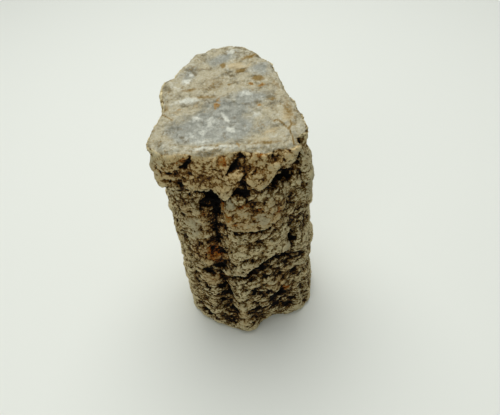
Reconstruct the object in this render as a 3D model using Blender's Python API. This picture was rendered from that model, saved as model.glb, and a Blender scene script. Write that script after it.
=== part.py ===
"""Petrified wood branch: an upright length of silicified limb, broken across at both ends.

It is one closed solid of stone. A turned blank is moved to the limb's section at every height,
with the thick cap of bark under the top break, the bark ledges, the cracks and the hollows.
Then lumps are raised on the bark, and the fine mesh is thinned to a faceted solid.
"""

import math
from collections import namedtuple

import bmesh
import bpy
import numpy as np
from mathutils import Vector, noise

NAME = "petrified_wood_branch"

# Sizes are in metres and angles in degrees round the limb from +X. The front is at -90, on -Y.
HALF_WIDTH = 0.0238
HALF_DEPTH = 0.0212
FRONT_HEIGHT = 0.088
FRONT_RIM_Y = -0.020
TOP_SLOPE = math.radians(12)
FOOT_ROUNDING = 0.0016
RIM_ROUNDING = 0.0020
FOOT_HEIGHT = 0.014
LIP_HEIGHT = 0.0012
LEDGE_END = 8

TRIANGLES = 9400
STEPS_ROUND = 264
STEPS_UP = 190
STEPS_ACROSS_TOP = 46
STEPS_ACROSS_BASE = 5
STEPS_IN_ROUNDING = 4
FLAT_BELOW = 0.0002

STONE_COLOR = (0.27, 0.225, 0.16, 1)
STONE_ROUGHNESS = 0.6

# How far the section stands out of the plain oval of the limb, by angle.
BODY = ((-174, 0.0007), (-160, 0.0010), (-146, 0.0013), (-128, 0.0006), (-114, -0.0012), (-99, 0.0012),
        (-84, 0.0006), (-68, 0.0006), (-48, -0.0006), (-34, 0.0012), (-18, 0.0002), (10, 0.0),
        (45, -0.0006), (75, 0.0002), (100, -0.0008), (125, 0.0004), (155, 0.0002))
FOOT = ((-174, 0.0009), (-160, 0.0017), (-144, 0.0016), (-128, 0.0010), (-116, 0.0010), (-99, 0.0016),
        (-88, 0.0010), (-80, -0.0016), (-71, -0.0034), (-60, -0.0022), (-47, 0.0004), (-30, 0.0018),
        (-12, 0.0010), (20, 0.0), (60, -0.0010), (90, -0.0002), (125, -0.0008), (155, 0.0002))
# The top break: its rim's radius, the height of the cap's lower edge and how far that edge overhangs.
RIM = ((-163, 0.0226), (-155, 0.0264), (-148, 0.0294), (-140, 0.0288), (-130, 0.0268), (-118, 0.0238),
       (-105, 0.0216), (-90, 0.0207), (-76, 0.0219), (-62, 0.0244), (-51, 0.0267), (-41, 0.0261),
       (-29, 0.0224), (-19, 0.0191), (-5, 0.0163), (12, 0.0148), (32, 0.0156), (50, 0.0180),
       (66, 0.0196), (78, 0.0214), (92, 0.0220), (108, 0.0221), (121, 0.0219), (131, 0.0202),
       (150, 0.0199), (163, 0.0211), (178, 0.0207), (-170, 0.0207))
CAP_EDGE = ((-168, 0.0650), (-156, 0.0692), (-145, 0.0702), (-132, 0.0702), (-126, 0.0712),
            (-121, 0.0704), (-117, 0.0732), (-112, 0.0738), (-106, 0.0724), (-101, 0.0705),
            (-97, 0.0725), (-92, 0.0760), (-87, 0.0752), (-80, 0.0744), (-72, 0.0746), (-66, 0.0762),
            (-58, 0.0780), (-50, 0.0792), (-42, 0.0800), (-36, 0.0700), (-26, 0.0590),
            (0, 0.0560), (40, 0.0590), (80, 0.0640), (120, 0.0600), (160, 0.0590))
CAP_OVERHANG = ((-168, 0.0), (-156, 0.0022), (-145, 0.0032), (-128, 0.0028), (-112, 0.0022),
                (-96, 0.0020), (-80, 0.0016), (-62, 0.0020), (-50, 0.0022), (-42, 0.0),
                (-28, -0.0004), (60, 0.0), (90, 0.0010), (130, 0.0006), (170, 0.0))
CAP_BULGE = 0.0006

Ledge = namedtuple("Ledge", "edge rise reach undercut")
LEDGES = (
    Ledge(((-114, 0.0690), (-110, 0.0655), (-104, 0.0615), (-100, 0.0590), (-95, 0.0567), (-88, 0.0576),
           (-80, 0.0564), (-73, 0.0556), (-68, 0.0580), (-62, 0.0604), (-54, 0.0628), (-46, 0.0650)),
          0.0021, 0.014, 0.0012),
    Ledge(((-136, 0.0345), (-126, 0.0352), (-120, 0.0346), (-114, 0.0330), (-107, 0.0336), (-100, 0.0343),
           (-93, 0.0353), (-87, 0.0375), (-82, 0.0393), (-74, 0.0402), (-64, 0.0410), (-52, 0.0402),
           (-44, 0.0408)), 0.0016, 0.012, 0.0014),
    Ledge(((-176, 0.0210), (-162, 0.0180), (-148, 0.0196), (-132, 0.0160)), 0.0009, 0.009, 0.0006),
    Ledge(((20, 0.0420), (44, 0.0360), (70, 0.0390), (96, 0.0340), (118, 0.0370), (140, 0.0330)),
          0.0017, 0.013, 0.0012),
    Ledge(((-20, 0.0300), (4, 0.0250), (26, 0.0270), (50, 0.0190), (74, 0.0210)), 0.0013, 0.010, 0.0009),
    Ledge(((120, 0.0560), (146, 0.0500), (168, 0.0530), (188, 0.0470)), 0.0015, 0.013, 0.0010),
    Ledge(((96, 0.0160), (122, 0.0130), (150, 0.0170)), 0.0011, 0.009, 0.0007),
)

Swell = namedtuple("Swell", "angle height rise half_wide half_tall")
SWELLS = (
    Swell(-24, 0.0680, 0.0021, 0.0050, 0.0090),  # the lobe at the right of the cap
    Swell(-30, 0.0820, -0.0030, 0.0034, 0.0032),
    Swell(-98, 0.0790, 0.0008, 0.0050, 0.0050),
    Swell(-102, 0.0725, 0.0009, 0.0040, 0.0020),
    Swell(-118, 0.0770, 0.0006, 0.0034, 0.0050),
    Swell(-80, 0.0775, 0.0008, 0.0044, 0.0030),
    Swell(-58, 0.0820, 0.0008, 0.0050, 0.0040),
    Swell(-146, 0.0730, 0.0009, 0.0050, 0.0030),
    Swell(-101, 0.0680, 0.0010, 0.0030, 0.0026),  # the pale lump under the cap
    Swell(-75, 0.0610, 0.0009, 0.0036, 0.0040),
    Swell(-90, 0.0620, 0.0005, 0.0030, 0.0034),
    Swell(-98, 0.0180, 0.0011, 0.0022, 0.0170),  # the corner at the front of the foot
    Swell(-125, 0.0130, 0.0009, 0.0022, 0.0090),
    Swell(-45, 0.0680, 0.0007, 0.0026, 0.0070),
    Swell(-113, 0.0696, -0.0042, 0.0040, 0.0030),  # the cave under the cap
    Swell(-91, 0.0735, -0.0028, 0.0030, 0.0020),
    Swell(-56, 0.0748, -0.0030, 0.0040, 0.0026),
    Swell(-133, 0.0752, -0.0022, 0.0028, 0.0034),
    Swell(-134, 0.0675, -0.0012, 0.0050, 0.0016),
    Swell(-115, 0.0540, -0.0013, 0.0026, 0.0110),
    Swell(-118, 0.0370, -0.0012, 0.0030, 0.0034),
    Swell(-46, 0.0450, -0.0026, 0.0020, 0.0028),
    Swell(-38, 0.0580, -0.0014, 0.0026, 0.0050),
    Swell(-70, 0.0365, -0.0012, 0.0080, 0.0022),
    Swell(-64, 0.0190, -0.0012, 0.0070, 0.0026),
    Swell(-113, 0.0230, -0.0012, 0.0024, 0.0026),
    Swell(-138, 0.0055, -0.0010, 0.0040, 0.0030),
    Swell(-108, 0.0085, -0.0010, 0.0028, 0.0028),
    Swell(-25, 0.0475, -0.0026, 0.0050, 0.0046),
    Swell(-153, 0.0350, 0.0006, 0.0026, 0.0140),
    Swell(62, 0.0500, 0.0012, 0.0060, 0.0080),
    Swell(108, 0.0740, 0.0010, 0.0070, 0.0080),
    Swell(150, 0.0340, 0.0010, 0.0060, 0.0070),
    Swell(84, 0.0560, -0.0014, 0.0044, 0.0070),
    Swell(132, 0.0260, -0.0012, 0.0038, 0.0060),
    Swell(20, 0.0500, -0.0012, 0.0044, 0.0056),
    Swell(-6, 0.0400, -0.0010, 0.0036, 0.0080),
)

Crack = namedtuple("Crack", "path depth half_wide")
CRACKS = (
    Crack(((-125, 0.0880), (-126, 0.0845), (-125, 0.0810)), 0.0015, 0.0011),
    Crack(((-91, 0.0905), (-88, 0.0862), (-91, 0.0832), (-96, 0.0800)), 0.0019, 0.0012),
    Crack(((-90, 0.0838), (-83, 0.0840)), 0.0010, 0.0010),
    Crack(((-62, 0.0890), (-63, 0.0838)), 0.0010, 0.0009),
    Crack(((-100, 0.0754), (-90, 0.0756)), 0.0012, 0.0010),
    Crack(((-47, 0.0900), (-42, 0.0830), (-40, 0.0760), (-38, 0.0700), (-34, 0.0620)), 0.0020, 0.0013),
    Crack(((-34, 0.0240), (-34, 0.0140), (-31, 0.0020)), 0.0015, 0.0012),
    Crack(((-116, 0.0300), (-114, 0.0200), (-108, 0.0060)), 0.0010, 0.0011),
    Crack(((-146, 0.0560), (-149, 0.0480), (-144, 0.0410), (-148, 0.0330), (-142, 0.0250)), 0.0008, 0.0011),
    Crack(((-164, 0.0520), (-170, 0.0460), (-165, 0.0390), (-172, 0.0310), (-166, 0.0220)), 0.0009, 0.0012),
    Crack(((44, 0.0900), (51, 0.0830), (46, 0.0770), (53, 0.0710), (50, 0.0660)), 0.0012, 0.0012),
    Crack(((114, 0.0920), (108, 0.0850), (113, 0.0790), (107, 0.0740), (112, 0.0690)), 0.0011, 0.0012),
    Crack(((164, 0.0430), (171, 0.0370), (165, 0.0290), (170, 0.0220)), 0.0009, 0.0012),
    Crack(((38, 0.0320), (31, 0.0260), (36, 0.0190), (30, 0.0120)), 0.0009, 0.0012),
    Crack(((-12, 0.0800), (-6, 0.0730), (-13, 0.0660), (-8, 0.0590)), 0.0010, 0.0012),
    Crack(((76, 0.0300), (84, 0.0240), (79, 0.0170), (86, 0.0100)), 0.0009, 0.0012),
)

# The smooth bowl in the top break: its middle in plan, its outline as radius by angle, and its depth.
BOWL_MIDDLE = (-0.0040, -0.0115)
BOWL = ((-168, 0.0150), (-140, 0.0122), (-110, 0.0086), (-80, 0.0070), (-50, 0.0090), (-15, 0.0140),
        (20, 0.0122), (50, 0.0096), (85, 0.0084), (115, 0.0074), (150, 0.0098), (172, 0.0136))
BOWL_DEPTH = 0.0016
BOWL_STEP = 0.0005
BOWL_STEP_SHARE = 0.08
RELIEF_FADE = 12  # the power by which the wall's relief dies out over the top and the base

Hump = namedtuple("Hump", "x y rise radius")
TOP_HUMPS = (
    Hump(-0.0170, 0.0010, 0.0007, 0.0050),
    Hump(-0.0110, 0.0100, -0.0006, 0.0040),
    Hump(0.0020, 0.0110, 0.0008, 0.0050),
    Hump(0.0080, 0.0030, -0.0006, 0.0040),
    Hump(0.0140, -0.0110, 0.0009, 0.0040),
    Hump(-0.0060, 0.0170, -0.0012, 0.0045),
    Hump(-0.0020, -0.0110, 0.0004, 0.0022),
    Hump(-0.0225, -0.0150, -0.0010, 0.0040),
)

# Bark lumps: a lump's size round and up the limb, its height, and how it falls away from its middle.
LUMP_WIDE = 0.0054
LUMP_TALL = 0.0044
LUMP_RISE = 0.0006
LUMP_FALL = 0.0023
WAVE_SIZE = 0.0105
WAVE_RISE = 0.0005
RIPPLE_SIZE = 0.0034
RIPPLE_RISE = 0.00028
TOP_SHARE_OF_LUMPS = 0.10
TOP_TILT = (0.5, 0.8)  # the upward share of a surface's direction at which it turns from bark to top break
CAP_SHARE_OF_LUMPS = 0.75
CAP_FROM = (0.070, 0.076)  # the heights between which the bark turns to the smoother bark of the cap


def eased(share):
    """0 to 1 with a level start and end, for shares below 0 to above 1."""
    share = np.clip(share, 0, 1)
    return share * share * (3 - 2 * share)


def by_angle(knots, angle):
    """The smooth closed curve through (angle, value) knots, read at each angle in degrees."""
    at, value = np.array(sorted(knots)).T
    count = len(at)
    after = np.searchsorted(at, angle, side="right") % count
    before = (after - 1) % count
    gap = (at[after] - at[before]) % 360
    share = ((angle - at[before]) % 360) / gap
    slope = (np.roll(value, -1) - np.roll(value, 1)) / ((np.roll(at, -1) - np.roll(at, 1)) % 360)
    rise = share * share * (3 - 2 * share)
    leaving = share * (1 - share) ** 2 * gap * slope[before]
    arriving = share * share * (share - 1) * gap * slope[after]
    return value[before] * (1 - rise) + value[after] * rise + leaving + arriving


def limb_radius(angle):
    """The plain oval of the limb."""
    turn = np.radians(angle)
    return 1 / np.hypot(np.cos(turn) / HALF_WIDTH, np.sin(turn) / HALF_DEPTH)


def turned_by(angle, other):
    """The turn from the second angle to the first, from -180 to 180 degrees."""
    return (angle - other + 180) % 360 - 180


def arc_between(angle, other):
    """The length round the limb from the second angle to the first, signed."""
    return np.radians(turned_by(angle, other)) * (HALF_WIDTH + HALF_DEPTH) / 2


def bowl_share(x, y):
    """How far each point of the top is from the bowl's middle, as a share of the way to its outline."""
    along, across = x - BOWL_MIDDLE[0], y - BOWL_MIDDLE[1]
    return np.hypot(along, across) / by_angle(BOWL, np.degrees(np.arctan2(across, along)))


def top_height(x, y):
    """Height of the top break over each point in plan."""
    height = FRONT_HEIGHT + (y - FRONT_RIM_Y) * math.tan(TOP_SLOPE)
    share = bowl_share(x, y)
    height = height - BOWL_DEPTH * np.clip(1 - share**2, 0, 1)
    height = height - BOWL_STEP * (1 - eased((share - 1) / BOWL_STEP_SHARE + 0.5))
    for hump in TOP_HUMPS:
        away = ((x - hump.x) ** 2 + (y - hump.y) ** 2) / hump.radius**2
        height = height + hump.rise * np.exp(-away)
    return height


def ledge_offset(ledge, angle, height):
    """How far a bark ledge moves the wall: proud at its lower edge, fading upwards, cut in below it."""
    at, edge_height = np.array(ledge.edge).T
    middle = (at[0] + at[-1]) / 2
    unrolled = middle + turned_by(angle, middle)
    ends = eased((unrolled - at[0]) / LEDGE_END) * eased((at[-1] - unrolled) / LEDGE_END)
    over = height - np.interp(unrolled, at, edge_height)
    lip = eased(over / LIP_HEIGHT) * np.clip(1 - over / ledge.reach, 0, 1)
    under = np.exp(-(((over + LIP_HEIGHT) / LIP_HEIGHT) ** 2))
    return ends * (ledge.rise * lip - ledge.undercut * under)


def swell_offset(swell, angle, height):
    """How far a single lump or hollow moves the wall."""
    across = arc_between(angle, swell.angle) / swell.half_wide
    up = (height - swell.height) / swell.half_tall
    return swell.rise * np.exp(-(across**2) - up**2)


def crack_offset(crack, angle, height):
    """How far a crack along a path cuts into the wall."""
    nearest = np.full(angle.shape, np.inf)
    for (start_angle, start_height), (end_angle, end_height) in zip(crack.path, crack.path[1:]):
        across, up = arc_between(angle, start_angle), height - start_height
        run, climb = arc_between(end_angle, start_angle), end_height - start_height
        share = np.clip((across * run + up * climb) / (run**2 + climb**2), 0, 1)
        nearest = np.minimum(nearest, np.hypot(across - share * run, up - share * climb))
    return -crack.depth * (1 - eased(nearest / crack.half_wide))


def wall_radius(angle, height, rim_height):
    """Radius of the limb's section at each angle and height, with the cap but no smaller relief."""
    plain = limb_radius(angle)
    body = plain + by_angle(BODY, angle)
    foot = plain + by_angle(FOOT, angle)
    body = foot + (body - foot) * eased(height / FOOT_HEIGHT)
    edge = by_angle(CAP_EDGE, angle)
    lip = body + by_angle(CAP_OVERHANG, angle)
    up_cap = np.clip((height - edge) / (rim_height - edge), 0, 1)
    cap = lip + (by_angle(RIM, angle) - lip) * up_cap + CAP_BULGE * np.sin(math.pi * up_cap)
    return body + (cap - body) * eased((height - edge) / LIP_HEIGHT)


def wall_relief(angle, height, rim_height):
    """How far the ledges, lumps, hollows and cracks move the wall at each angle and height."""
    relief = sum(ledge_offset(ledge, angle, height) for ledge in LEDGES)
    relief = relief + sum(swell_offset(swell, angle, height) for swell in SWELLS)
    relief = relief * eased((rim_height - height) / RIM_ROUNDING)
    return relief + sum(crack_offset(crack, angle, height) for crack in CRACKS)


def limb_form(points):
    """The points of the turned blank, moved to the limb's own form."""
    x, y, z = points.T
    turn = np.arctan2(y, x)
    angle = np.degrees(turn)
    share = np.hypot(x, y) / HALF_WIDTH
    up = z / FRONT_HEIGHT
    rim = by_angle(RIM, angle)
    rim_height = top_height(rim * np.cos(turn), rim * np.sin(turn))
    height = up * top_height(share * rim * np.cos(turn), share * rim * np.sin(turn))
    wall_height = up * rim_height
    radius = share * wall_radius(angle, wall_height, rim_height)
    radius = radius + share**RELIEF_FADE * wall_relief(angle, wall_height, rim_height)
    return np.column_stack([radius * np.cos(turn), radius * np.sin(turn), height])


def lump_height(point, outward):
    """How far the bark's lumps, waves and ripples move the surface at a point, along its normal."""
    place = Vector(point)
    squashed = Vector((place.x / LUMP_WIDE, place.y / LUMP_WIDE, place.z / LUMP_TALL))
    from_middle = noise.voronoi(squashed)[0][0]
    lump = LUMP_RISE - LUMP_FALL * from_middle**2
    wave = WAVE_RISE * noise.noise(place / WAVE_SIZE)
    ripple = RIPPLE_RISE * noise.noise(place / RIPPLE_SIZE)
    top_share = eased((outward.z - TOP_TILT[0]) / (TOP_TILT[1] - TOP_TILT[0]))
    cap_share = eased((place.z - CAP_FROM[0]) / (CAP_FROM[1] - CAP_FROM[0]))
    bark = 1 + (CAP_SHARE_OF_LUMPS - 1) * cap_share
    bark = bark + (TOP_SHARE_OF_LUMPS - bark) * top_share
    clear_of_base = eased(place.z / FOOT_ROUNDING)
    return (lump * bark + wave + ripple) * clear_of_base


def blank_profile():
    """Points (radius, height) from the middle of the base, out, up the wall and back in over the top."""
    base = np.linspace(0, HALF_WIDTH - FOOT_ROUNDING, STEPS_ACROSS_BASE, endpoint=False)
    points = [(radius, 0) for radius in base]
    for step in range(STEPS_IN_ROUNDING):
        turn = math.pi / 2 * step / STEPS_IN_ROUNDING
        in_by, up_by = FOOT_ROUNDING * (1 - math.sin(turn)), FOOT_ROUNDING * (1 - math.cos(turn))
        points.append((HALF_WIDTH - in_by, up_by))
    wall = np.linspace(FOOT_ROUNDING, FRONT_HEIGHT - RIM_ROUNDING, STEPS_UP, endpoint=False)
    points += [(HALF_WIDTH, height) for height in wall]
    for step in range(STEPS_IN_ROUNDING):
        turn = math.pi / 2 * step / STEPS_IN_ROUNDING
        in_by, down_by = RIM_ROUNDING * (1 - math.cos(turn)), RIM_ROUNDING * (1 - math.sin(turn))
        points.append((HALF_WIDTH - in_by, FRONT_HEIGHT - down_by))
    top = np.linspace(HALF_WIDTH - RIM_ROUNDING, 0, STEPS_ACROSS_TOP)
    return points + [(radius, FRONT_HEIGHT) for radius in top]


def turned_blank():
    """The fine turned mesh that the limb is worked from."""
    blank = bmesh.new()
    row = [blank.verts.new((radius, 0, height)) for radius, height in blank_profile()]
    edges = [blank.edges.new(pair) for pair in zip(row, row[1:])]
    bmesh.ops.spin(
        blank, geom=row + edges, cent=(0, 0, 0), axis=(0, 0, 1), dvec=(0, 0, 0),
        angle=math.tau, steps=STEPS_ROUND, use_merge=True,
    )
    bmesh.ops.remove_doubles(blank, verts=blank.verts, dist=1e-6)
    bmesh.ops.recalc_face_normals(blank, faces=blank.faces)
    return blank


def shape_limb(blank):
    """Moves the blank's vertices to the limb's form, then raises the lumps of its surface."""
    points = limb_form(np.array([vertex.co for vertex in blank.verts]))
    for vertex, point in zip(blank.verts, points):
        vertex.co = point
    blank.normal_update()
    moves = [vertex.normal * lump_height(vertex.co, vertex.normal) for vertex in blank.verts]
    for vertex, move in zip(blank.verts, moves):
        vertex.co += move


def thinned(obj, triangles):
    """A mesh of about this many triangles with the object's form."""
    obj.data.calc_loop_triangles()
    thin = obj.modifiers.new("thin", "DECIMATE")
    thin.ratio = triangles / len(obj.data.loop_triangles)
    thin.use_collapse_triangulate = True
    graph = bpy.context.evaluated_depsgraph_get()
    mesh = bpy.data.meshes.new_from_object(obj.evaluated_get(graph))
    obj.modifiers.remove(thin)
    return mesh


def level_and_center(mesh):
    """Puts the base exactly on z = 0 and the middle of the outline on the axis."""
    count = len(mesh.vertices)
    points = np.empty(count * 3, np.float32)
    mesh.vertices.foreach_get("co", points)
    points = points.reshape(-1, 3)
    points[points[:, 2] < FLAT_BELOW, 2] = 0
    points[:, :2] -= (points[:, :2].min(axis=0) + points[:, :2].max(axis=0)) / 2
    mesh.vertices.foreach_set("co", points.ravel())
    mesh.update()


def stone_material():
    material = bpy.data.materials.new("silicified wood")
    material.use_nodes = True
    shader = material.node_tree.nodes["Principled BSDF"]
    shader.inputs["Base Color"].default_value = STONE_COLOR
    shader.inputs["Roughness"].default_value = STONE_ROUGHNESS
    shader.inputs["Metallic"].default_value = 0
    return material


def branch(collection):
    """The whole stone, as one object."""
    blank = turned_blank()
    shape_limb(blank)
    fine = bpy.data.meshes.new(NAME)
    blank.to_mesh(fine)
    blank.free()
    obj = bpy.data.objects.new(NAME, fine)
    collection.objects.link(obj)
    obj.data = thinned(obj, TRIANGLES)
    bpy.data.meshes.remove(fine)
    level_and_center(obj.data)
    obj.data.name = NAME
    obj.data.shade_smooth()
    obj.data.materials.append(stone_material())
    return obj


def clear_scene():
    for obj in list(bpy.data.objects):
        bpy.data.objects.remove(obj)


def main():
    clear_scene()
    collection = bpy.data.collections.new(NAME)
    bpy.context.scene.collection.children.link(collection)
    branch(collection)


main()
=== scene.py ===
"""The looks of the petrified wood branch: one stone with bark-like sides and broken ends, on a stage."""

import math
from collections import namedtuple

import bmesh
import bpy
import numpy as np
from bpy.props import FloatProperty, FloatVectorProperty, PointerProperty
from bpy.types import Operator, Panel, PropertyGroup
from mathutils import Matrix, Vector


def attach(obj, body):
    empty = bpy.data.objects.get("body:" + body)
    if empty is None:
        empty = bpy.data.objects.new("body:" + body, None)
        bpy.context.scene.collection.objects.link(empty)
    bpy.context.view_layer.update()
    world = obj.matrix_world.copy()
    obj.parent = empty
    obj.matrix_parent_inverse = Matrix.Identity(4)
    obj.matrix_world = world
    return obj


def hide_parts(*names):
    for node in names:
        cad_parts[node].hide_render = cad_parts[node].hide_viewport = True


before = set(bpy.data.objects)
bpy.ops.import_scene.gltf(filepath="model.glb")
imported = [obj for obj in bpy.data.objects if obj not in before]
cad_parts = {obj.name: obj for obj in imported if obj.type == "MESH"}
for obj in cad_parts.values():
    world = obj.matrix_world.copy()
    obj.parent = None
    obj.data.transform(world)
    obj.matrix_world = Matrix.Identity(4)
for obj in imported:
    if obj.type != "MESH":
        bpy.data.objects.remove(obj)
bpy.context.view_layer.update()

bl_info = {
    "name": "Petrified Wood Branch",
    "version": (1, 0, 0),
    "blender": (4, 5, 0),
    "location": "3D View > Sidebar > Petrified Wood",
    "description": "Builds an upright length of silicified limb with rough bark and a broken top",
    "category": "Object",
}

NODE = "petrified_wood_branch"
MM = 0.001

# Places on the sides are given as (angle, height): degrees round the limb from +X, with -Y at -90, and
# millimetres over the base. Places on the top are millimetres in plan. Both are measured about this axis.
LIMB_AXIS = (0.16, 0.83)
LIMB_RADIUS = 22.5
FRONT = -85  # the middle of the more broken bark of the front
PALE_BRIM = -114  # the middle of the pale wall under the break
TOP_START = 84  # the break at the top lies over this height
LOW_BARK = 39  # the bark's lumps are flatter under this height


def linear(color):
    """An sRGB hex colour as linear red, green and blue."""
    shares = [int(color[place : place + 2], 16) / 255 for place in (1, 3, 5)]
    return tuple(share / 12.92 if share <= 0.04045 else ((share + 0.055) / 1.055) ** 2.4 for share in shares)


Spot = namedtuple("Spot", "angle height half_wide half_tall share")

# Where the bark's recesses are painted black: partly black earth, partly painted shade in the caves and gaps
# under the cap and the ledges.
BLACK_SPOTS = (
    Spot(-119, 66.4, 3.2, 2.6, 1.5),  # the cave under the cap
    Spot(-114.5, 63.6, 1.5, 3.2, 1.2),
    Spot(-88, 76.4, 2.4, 2.6, 1.5),  # the gap between the cap's lobes
    Spot(-88, 71.6, 3.2, 1.2, 1.2),
    Spot(-62, 79.8, 2.0, 1.2, 1.4),  # the cave under the cap's right lobe
    Spot(-54, 72.8, 3.6, 1.2, 1.4),
    Spot(-136, 80.2, 1.4, 0.7, 1.1),  # the cap's left
    Spot(-135.5, 76.6, 2.2, 1.2, 1.1),
    Spot(-129.5, 80.6, 1.4, 0.8, 1.0),
    Spot(-132.5, 75.0, 1.6, 0.8, 1.0),
    Spot(-131, 84.5, 0.7, 0.6, 1.0),
    Spot(-137, 83.0, 0.6, 0.6, 0.9),
    Spot(-123, 85.6, 0.9, 2.2, 0.9),  # the notches of the cap
    Spot(-87.5, 86.2, 0.8, 1.2, 1.0),
    Spot(-119, 54.0, 3.0, 8.0, 0.2),  # the valley under the cave
    Spot(-123, 61.0, 1.6, 1.6, 0.7),
    Spot(-118, 59.0, 1.6, 3.0, 0.5),
    Spot(-117.5, 50.0, 1.0, 3.4, 0.7),
    Spot(-122, 36.2, 2.6, 1.6, 1.3),
    Spot(-131, 33.4, 1.4, 0.8, 0.8),
    Spot(-80, 35.6, 4.4, 2.0, 1.1),  # under the third ledge
    Spot(-77, 32.6, 5.0, 3.0, 0.8),
    Spot(-66, 33.0, 4.0, 3.0, 0.7),
    Spot(-88.5, 31.6, 2.0, 1.4, 1.0),
    Spot(-53, 31.4, 2.0, 1.4, 0.8),
    Spot(-116.5, 24.4, 2.4, 1.6, 1.2),  # the low front
    Spot(-115.5, 20.0, 2.8, 1.6, 1.1),
    Spot(-119, 15.6, 2.6, 1.0, 0.8),
    Spot(-131, 23.6, 2.0, 0.9, 0.8),
    Spot(-95.8, 27.0, 1.2, 0.7, 0.9),
    Spot(-87.1, 24.5, 1.2, 0.9, 1.0),
    Spot(-144, 9.6, 2.6, 2.2, 0.9),
    Spot(-140, 5.2, 2.6, 1.4, 1.2),
    Spot(-129, 4.4, 4.0, 1.4, 1.0),
    Spot(-108, 10.8, 3.0, 1.8, 1.1),
    Spot(-110, 6.2, 2.6, 1.2, 0.9),
    Spot(-86, 12.6, 1.8, 2.2, 1.1),
    Spot(-88.3, 17.6, 1.2, 1.0, 0.8),
    Spot(-74, 21.4, 3.2, 1.6, 1.0),
    Spot(-62, 16.4, 5.0, 2.4, 1.3),
    Spot(-48, 10.6, 2.6, 1.6, 1.0),
    Spot(-66, 11.4, 5.4, 1.6, 1.0),
    Spot(-54, 7.6, 4.4, 1.6, 1.0),
    Spot(-59, 13.0, 7.0, 8.0, 0.55),
    Spot(-44, 43.4, 1.5, 2.2, 1.5),  # the right side
    Spot(-36, 52.6, 2.2, 3.0, 0.9),
    Spot(-20, 44.4, 2.6, 4.0, 0.7),
    Spot(-36, 12.0, 1.3, 8.0, 0.8),
    Spot(20, 24.0, 6.0, 2.0, 0.9),  # the back
    Spot(70, 30.0, 5.0, 2.0, 0.9),
    Spot(120, 20.0, 6.0, 2.0, 0.9),
    Spot(170, 34.0, 5.0, 2.0, 0.8),
    Spot(40, 66.0, 2.0, 3.0, 0.8),
    Spot(140, 60.0, 2.0, 3.4, 0.8),
)
RUST_SPOTS = (
    Spot(-100.5, 84.8, 1.5, 1.7, 1.5),
    Spot(-74, 86.8, 1.2, 1.2, 1.4),
    Spot(-79, 83.0, 0.6, 3.0, 0.9),
    Spot(-105, 66.4, 0.7, 1.1, 3.4),
    Spot(-103, 65.2, 0.7, 1.1, 3.4),
    Spot(-101.5, 63.8, 0.7, 1.1, 3.4),
    Spot(-120.5, 43.5, 2.8, 3.4, 1.5),
    Spot(-118.5, 39.6, 1.2, 2.4, 1.4),
    Spot(-121, 30.0, 3.4, 1.2, 0.9),
    Spot(-58, 17.0, 0.9, 0.7, 1.6),
    Spot(-51.6, 18.0, 2.0, 1.2, 1.2),
    Spot(-95, 61.4, 2.6, 0.8, 1.0),
    Spot(-90, 67.4, 3.0, 0.8, 1.0),
    Spot(-79, 65.2, 2.6, 0.5, 0.8),
    Spot(-82.6, 62.4, 0.5, 1.4, 1.0),
    Spot(-62, 63.0, 2.2, 2.2, 0.8),
    Spot(-126, 85.4, 1.2, 2.0, 0.9),
    Spot(-89, 87.8, 1.0, 1.0, 1.2),
    Spot(-80, 87.4, 4.0, 0.8, 0.8),
    Spot(-76, 80.6, 2.0, 1.2, 0.6),
    Spot(-124, 61.0, 0.9, 1.6, 0.7),
)
# Where the bark is stained a warmer brown.
OCHRE_SPOTS = (
    Spot(-72, 86.0, 8.0, 3.0, 1.1),
    Spot(-112, 81.0, 8.0, 6.0, 1.2),
    Spot(-86, 80.0, 7.0, 6.0, 1.0),
    Spot(-60, 78.0, 6.0, 6.0, 0.3),
    Spot(-136, 79.0, 4.0, 4.0, 0.85),
    Spot(-117, 58.0, 4.0, 8.0, 0.8),
    Spot(-126, 86.0, 2.6, 2.6, 0.8),
    Spot(-138, 62.0, 2.4, 4.0, 0.6),
    Spot(-132, 43.0, 3.0, 5.0, 0.6),
    Spot(-90, 62.0, 7.0, 4.4, 1.0),
    Spot(-64, 62.0, 3.4, 5.0, 0.9),
    Spot(-118, 42.0, 4.0, 5.0, 0.7),
    Spot(-60, 26.0, 4.0, 6.0, 0.4),
    Spot(-120, 29.0, 4.0, 2.6, 0.8),
    Spot(-102, 12.0, 4.0, 5.0, 0.4),
    Spot(30, 60.0, 7.0, 12.0, 0.6),
    Spot(110, 40.0, 9.0, 10.0, 0.6),
    Spot(160, 70.0, 7.0, 9.0, 0.6),
)
# Smooth pale lumps, where clear grey silica comes to the surface.
PALE_SPOTS = (
    Spot(-99.5, 69.4, 2.0, 1.8, 1.0),
    Spot(-76.5, 62.2, 2.4, 2.0, 1.0),
    Spot(-92, 64.4, 3.0, 1.2, 0.5),
    Spot(-133, 56.0, 3.0, 4.4, 0.6),
    Spot(-137, 46.4, 1.4, 1.4, 0.5),
    Spot(-79, 24.0, 3.0, 0.8, 0.4),
    Spot(-66, 12.6, 5.0, 0.6, 0.5),
    Spot(-146, 82.0, 3.0, 5.0, 0.5),
    Spot(-24, 68.0, 5.0, 7.0, 0.6),
    Spot(64, 50.0, 6.0, 7.0, 0.5),
    Spot(150, 36.0, 6.0, 7.0, 0.5),
)
# Where the bark is worn smoother, from 0 to 1.
WORN_SPOTS = (
    Spot(-112, 81.0, 14.0, 8.0, 0.5),
    Spot(-74, 82.0, 12.0, 7.0, 0.5),
    Spot(-145, 80.0, 9.0, 9.0, 0.7),
    Spot(-88, 63.0, 7.0, 6.0, 0.5),
    Spot(-134, 57.0, 4.0, 6.0, 0.5),
    Spot(-68, 48.0, 11.0, 8.0, 0.5),
    Spot(-96, 48.0, 4.0, 8.0, 0.5),
    Spot(-150, 40.0, 6.0, 30.0, 0.3),
    Spot(-24, 66.0, 8.0, 12.0, 0.5),
    Spot(64, 50.0, 12.0, 20.0, 0.5),
    Spot(150, 50.0, 12.0, 20.0, 0.5),
)

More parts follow.
